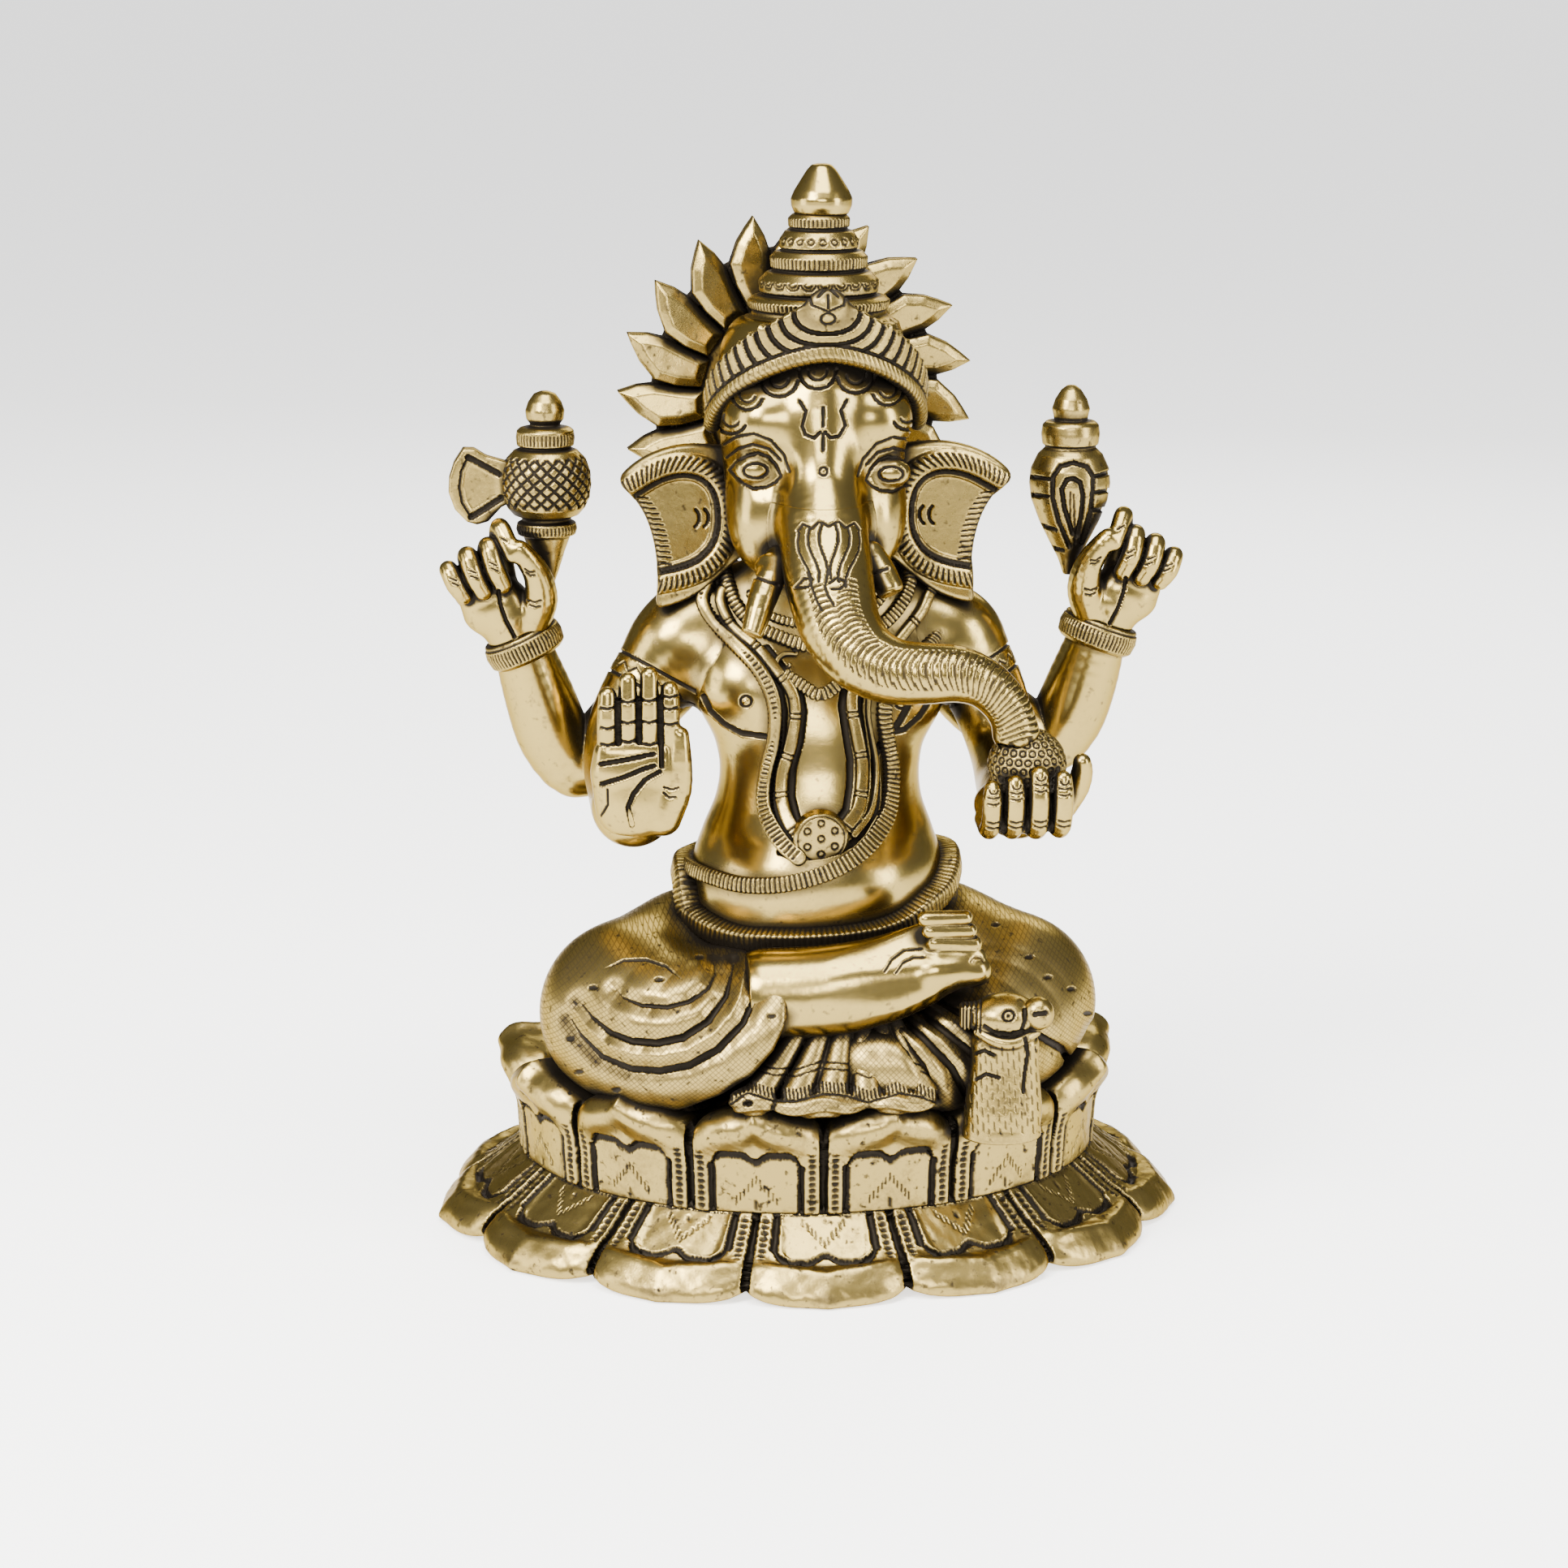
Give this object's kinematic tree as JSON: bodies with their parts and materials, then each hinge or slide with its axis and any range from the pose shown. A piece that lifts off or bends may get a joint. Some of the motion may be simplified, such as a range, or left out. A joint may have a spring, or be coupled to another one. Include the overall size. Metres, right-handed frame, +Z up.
{
  "type": "seated deity figurine",
  "caption": "Brass statue of a seated four-armed elephant-headed deity with a flame halo, on an oval double-lotus base with a flat foot.",
  "frame": {"origin": "centre of the base's flat foot, on the surface the statue stands on", "axes": "+Z up through the figure to the finial, -Y the way the figure faces, +X to a viewer's right (the figure's own left)"},
  "size_m": [0.183, 0.1528, 0.254],
  "materials": {
    "polished_brass": "polished, with dark patina left in the recesses",
    "chased_brass": "chased and punched texture, satin, with dark patina in the grooves",
    "fastener_steel": "plain zinc-plated steel"
  },
  "bodies": {
    "root": {"lotus_lower_tier": "chased_brass", "lotus_upper_tier": "chased_brass", "tie_bolt": "fastener_steel", "tie_washer": "fastener_steel", "torso": "polished_brass", "right_leg": "chased_brass", "left_leg": "chased_brass", "right_foot": "polished_brass", "dhoti_pleats": "chased_brass", "waist_belt": "chased_brass", "waist_cord": "chased_brass", "garland": "chased_brass", "chest_medallion": "polished_brass", "collar_necklace": "chased_brass", "head": "polished_brass", "trunk": "polished_brass", "right_ear": "chased_brass", "left_ear": "chased_brass", "right_tusk": "polished_brass", "left_tusk": "polished_brass", "crown_diadem": "chased_brass", "crown_tower": "chased_brass", "crown_finial": "polished_brass", "flame_halo": "chased_brass", "halo_screw": "fastener_steel", "front_right_arm": "polished_brass", "front_right_hand": "polished_brass", "front_left_arm": "polished_brass", "front_left_hand": "polished_brass", "modak_sweet": "chased_brass", "rear_right_arm": "polished_brass", "rear_right_bracelet": "chased_brass", "rear_right_hand": "polished_brass", "axe_blade": "chased_brass", "mace_head": "chased_brass", "rear_left_arm": "polished_brass", "rear_left_bracelet": "chased_brass", "rear_left_hand": "polished_brass", "lotus_bud": "chased_brass", "mouse": "polished_brass"}
  },
  "joints": []
}
